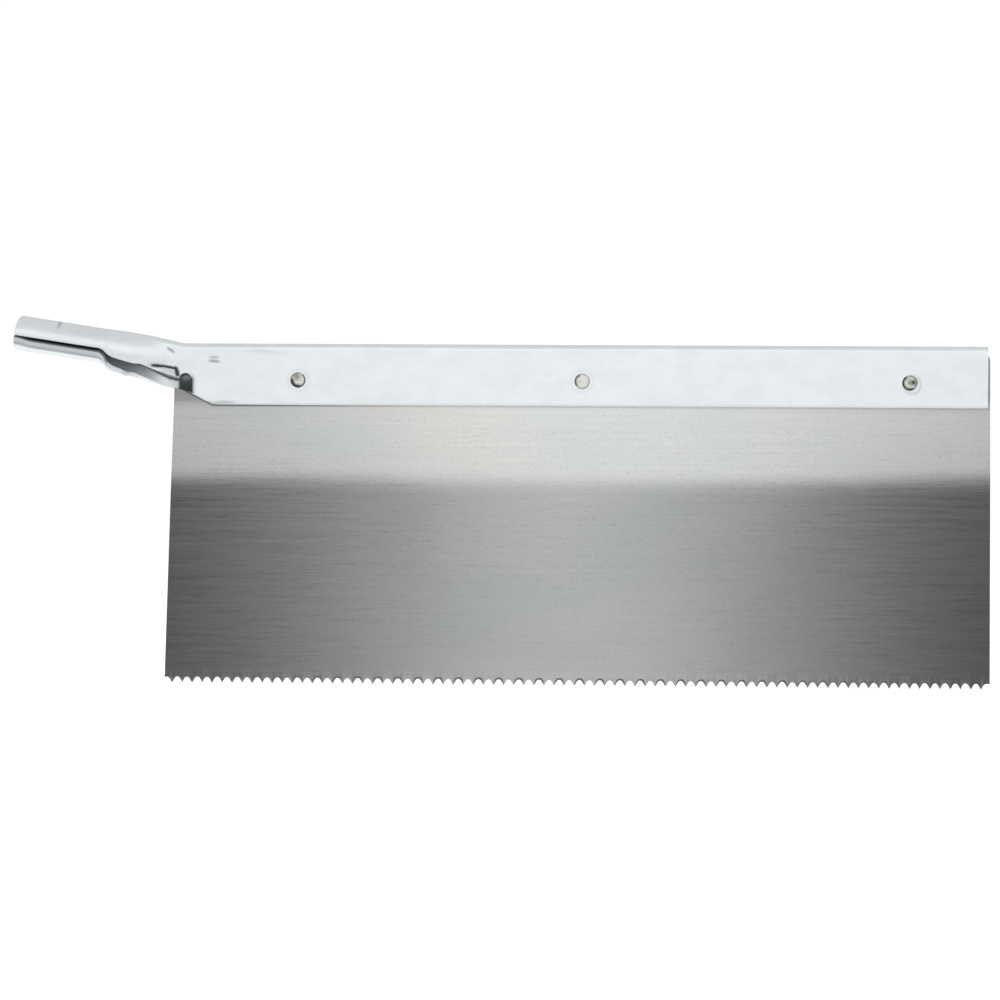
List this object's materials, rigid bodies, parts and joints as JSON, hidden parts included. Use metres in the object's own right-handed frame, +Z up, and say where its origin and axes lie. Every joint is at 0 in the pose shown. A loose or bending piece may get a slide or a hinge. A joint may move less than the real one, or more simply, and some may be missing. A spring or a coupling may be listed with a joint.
{
  "type": "back saw blade",
  "caption": "Fine-toothed steel saw plate stiffened by a folded, riveted sheet-metal back whose heel end is rolled into a round split tang for a handle.",
  "frame": {"origin": "on the tang's axis, at the middle of its straight round stretch", "axes": "+X along the back towards the toe, +Z up and away from the teeth, Y through the thickness, with the tang's seam and the notched side of the back facing -Y"},
  "size_m": [0.1538, 0.0054, 0.0579],
  "materials": {
    "blade_steel": "ground and brushed along its length, lightly oiled",
    "plated_sheet": "bright zinc plated, satin",
    "rivet_steel": "upset and dulled by the punch"
  },
  "bodies": {
    "root": {"blade": "blade_steel", "back": "plated_sheet", "rivet_heel": "rivet_steel", "rivet_middle": "rivet_steel", "rivet_toe": "rivet_steel"}
  },
  "joints": []
}
